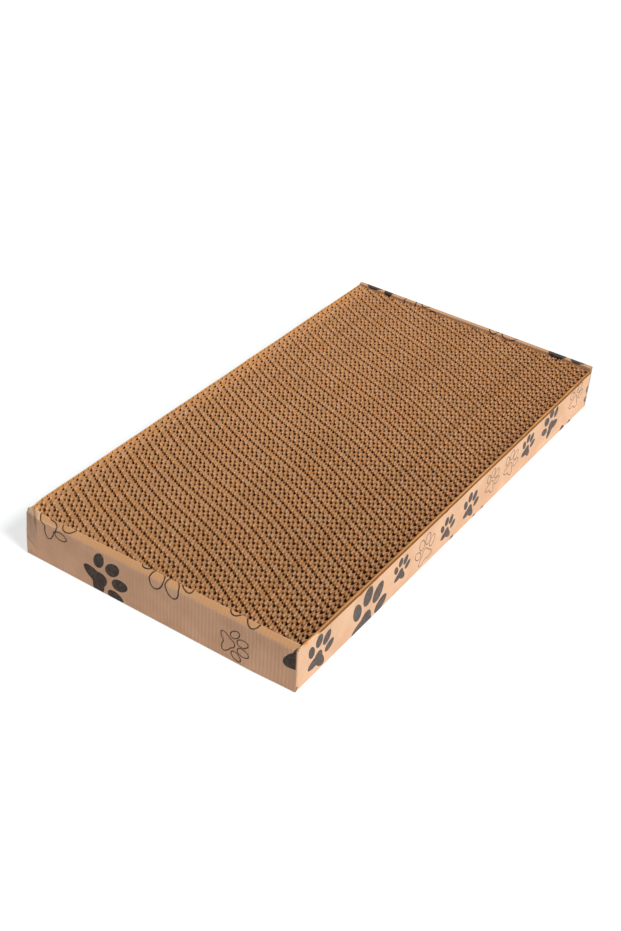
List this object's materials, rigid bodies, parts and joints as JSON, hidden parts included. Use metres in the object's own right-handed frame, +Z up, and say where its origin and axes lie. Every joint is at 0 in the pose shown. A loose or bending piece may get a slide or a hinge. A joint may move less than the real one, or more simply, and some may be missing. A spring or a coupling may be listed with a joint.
{
  "type": "cat scratcher",
  "caption": "Flat cardboard cat scratcher: a pad of upright corrugated board strips glued side by side, standing in a shallow folded tray with rolled end walls and a paw print pattern.",
  "frame": {"origin": "middle of the tray's underside, on the surface that the scratcher stands on", "axes": "+Z up, +Y along the strips and the long side, X across the pad"},
  "size_m": [0.254, 0.48, 0.044],
  "materials": {
    "tray_board": "smooth brown kraft liner, matt, printed with dark paw prints",
    "pad_board": "raw cut edges of brown corrugated board, matt"
  },
  "bodies": {
    "tray": {"tray": "tray_board"},
    "pad": {"strip_01": "pad_board", "strip_02": "pad_board", "strip_03": "pad_board", "strip_04": "pad_board", "strip_05": "pad_board", "strip_06": "pad_board", "strip_07": "pad_board", "strip_08": "pad_board", "strip_09": "pad_board", "strip_10": "pad_board", "strip_11": "pad_board", "strip_12": "pad_board", "strip_13": "pad_board", "strip_14": "pad_board", "strip_15": "pad_board", "strip_16": "pad_board", "strip_17": "pad_board", "strip_18": "pad_board", "strip_19": "pad_board", "strip_20": "pad_board", "strip_21": "pad_board", "strip_22": "pad_board", "strip_23": "pad_board", "strip_24": "pad_board", "strip_25": "pad_board", "strip_26": "pad_board", "strip_27": "pad_board", "strip_28": "pad_board", "strip_29": "pad_board", "strip_30": "pad_board", "strip_31": "pad_board", "strip_32": "pad_board", "strip_33": "pad_board", "strip_34": "pad_board", "strip_35": "pad_board", "strip_36": "pad_board", "strip_37": "pad_board", "strip_38": "pad_board", "strip_39": "pad_board", "strip_40": "pad_board", "strip_41": "pad_board", "strip_42": "pad_board"}
  },
  "joints": [
    {"name": "pad_lift", "type": "slide", "parent": "tray", "child": "pad", "axis": [0, 0, 1], "range_m": [0, 0.06]}
  ]
}
